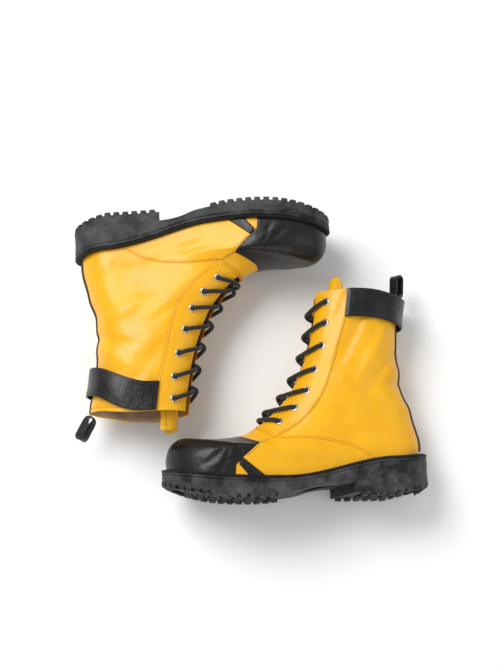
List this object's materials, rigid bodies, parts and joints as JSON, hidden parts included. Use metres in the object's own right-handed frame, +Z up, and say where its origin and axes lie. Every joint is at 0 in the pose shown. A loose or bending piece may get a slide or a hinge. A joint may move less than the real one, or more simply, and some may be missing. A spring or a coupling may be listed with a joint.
{
  "type": "mountaineering boots",
  "caption": "Pair of lace-up leather mountain boots lying on their sides, with toe caps, eyelets, collar straps, pull loops and lugged rubber soles.",
  "frame": {"origin": "centre of the pair's bounding box, on the surface the boots lie on", "axes": "+X along the pair's longest side, roughly along both soles, +Y from the left boot's tread towards its collar, +Z up from the surface"},
  "size_m": [0.4126, 0.3432, 0.1075],
  "materials": {
    "yellow_leather": "smooth glossy full-grain leather with soft creases",
    "black_leather": "semi-gloss smooth leather, creased over the toe",
    "sole_rubber": "matt moulded rubber with a dusty grey bloom",
    "welt_rubber": "satin moulded rubber strip with lockstitching",
    "eyelet_nickel": "polished nickel plate",
    "lace": "tightly braided round polyester cord",
    "shank_steel": "mill finish spring steel",
    "insole_board": "matt pressed fibre board",
    "lining_fabric": "matt tan woven lining, over foam at the footbed"
  },
  "bodies": {
    "left_boot": {"left_toe_cap": "black_leather", "left_vamp": "yellow_leather", "left_quarter_outer": "yellow_leather", "left_quarter_inner": "yellow_leather", "left_facing_outer": "yellow_leather", "left_facing_inner": "yellow_leather", "left_backstay": "black_leather", "left_lace": "lace", "left_shank": "shank_steel", "left_outsole": "sole_rubber", "left_welt": "welt_rubber", "left_insole_board": "insole_board", "left_footbed": "lining_fabric", "left_eyelet_outer_1": "eyelet_nickel", "left_eyelet_outer_2": "eyelet_nickel", "left_eyelet_outer_3": "eyelet_nickel", "left_eyelet_outer_4": "eyelet_nickel", "left_eyelet_outer_5": "eyelet_nickel", "left_eyelet_outer_6": "eyelet_nickel", "left_eyelet_outer_7": "eyelet_nickel", "left_eyelet_inner_1": "eyelet_nickel", "left_eyelet_inner_2": "eyelet_nickel", "left_eyelet_inner_3": "eyelet_nickel", "left_eyelet_inner_4": "eyelet_nickel", "left_eyelet_inner_5": "eyelet_nickel", "left_eyelet_inner_6": "eyelet_nickel", "left_eyelet_inner_7": "eyelet_nickel"},
    "left_tongue": {"left_tongue": "yellow_leather"},
    "left_strap": {"left_strap": "black_leather"},
    "left_pull_loop": {"left_pull_loop": "black_leather"},
    "right_boot": {"right_toe_cap": "black_leather", "right_vamp": "yellow_leather", "right_quarter_outer": "yellow_leather", "right_quarter_inner": "yellow_leather", "right_facing_outer": "yellow_leather", "right_facing_inner": "yellow_leather", "right_backstay": "black_leather", "right_lace": "lace", "right_shank": "shank_steel", "right_outsole": "sole_rubber", "right_welt": "welt_rubber", "right_insole_board": "insole_board", "right_footbed": "lining_fabric", "right_eyelet_outer_1": "eyelet_nickel", "right_eyelet_outer_2": "eyelet_nickel", "right_eyelet_outer_3": "eyelet_nickel", "right_eyelet_outer_4": "eyelet_nickel", "right_eyelet_outer_5": "eyelet_nickel", "right_eyelet_outer_6": "eyelet_nickel", "right_eyelet_outer_7": "eyelet_nickel", "right_eyelet_inner_1": "eyelet_nickel", "right_eyelet_inner_2": "eyelet_nickel", "right_eyelet_inner_3": "eyelet_nickel", "right_eyelet_inner_4": "eyelet_nickel", "right_eyelet_inner_5": "eyelet_nickel", "right_eyelet_inner_6": "eyelet_nickel", "right_eyelet_inner_7": "eyelet_nickel"},
    "right_tongue": {"right_tongue": "yellow_leather"},
    "right_strap": {"right_strap": "black_leather"},
    "right_pull_loop": {"right_pull_loop": "black_leather"}
  },
  "joints": [
    {"name": "right_boot_lift", "type": "slide", "parent": "left_boot", "child": "right_boot", "axis": [0, 0, 1], "range_m": [0, 0.3]},
    {"name": "left_tongue_hinge", "type": "hinge", "parent": "left_boot", "child": "left_tongue", "pos_m": [0.01851, -0.0966, 0.04948], "axis": [0.0718, -0.0056, 0.9974], "range_deg": [-8, 2]},
    {"name": "left_strap_hinge", "type": "hinge", "parent": "left_boot", "child": "left_strap", "pos_m": [0.11171, 0.05885, 0.04364], "axis": [0.0718, -0.0056, 0.9974], "range_deg": [-4, 2]},
    {"name": "left_pull_loop_hinge", "type": "hinge", "parent": "left_boot", "child": "left_pull_loop", "pos_m": [0.17559, 0.06667, 0.03908], "axis": [0.0718, -0.0056, 0.9974], "range_deg": [-30, 45]},
    {"name": "right_tongue_hinge", "type": "hinge", "parent": "right_boot", "child": "right_tongue", "pos_m": [-0.01705, 0.0958, 0.05302], "axis": [-0.0974, 0.0035, 0.9952], "range_deg": [-8, 0.5]},
    {"name": "right_strap_hinge", "type": "hinge", "parent": "right_boot", "child": "right_strap", "pos_m": [-0.10682, -0.06267, 0.04479], "axis": [-0.0974, 0.0035, 0.9952], "range_deg": [-3, 12]},
    {"name": "right_pull_loop_hinge", "type": "hinge", "parent": "right_boot", "child": "right_pull_loop", "pos_m": [-0.17953, -0.07423, 0.03771], "axis": [-0.0974, 0.0035, 0.9952], "range_deg": [-30, 60]}
  ]
}
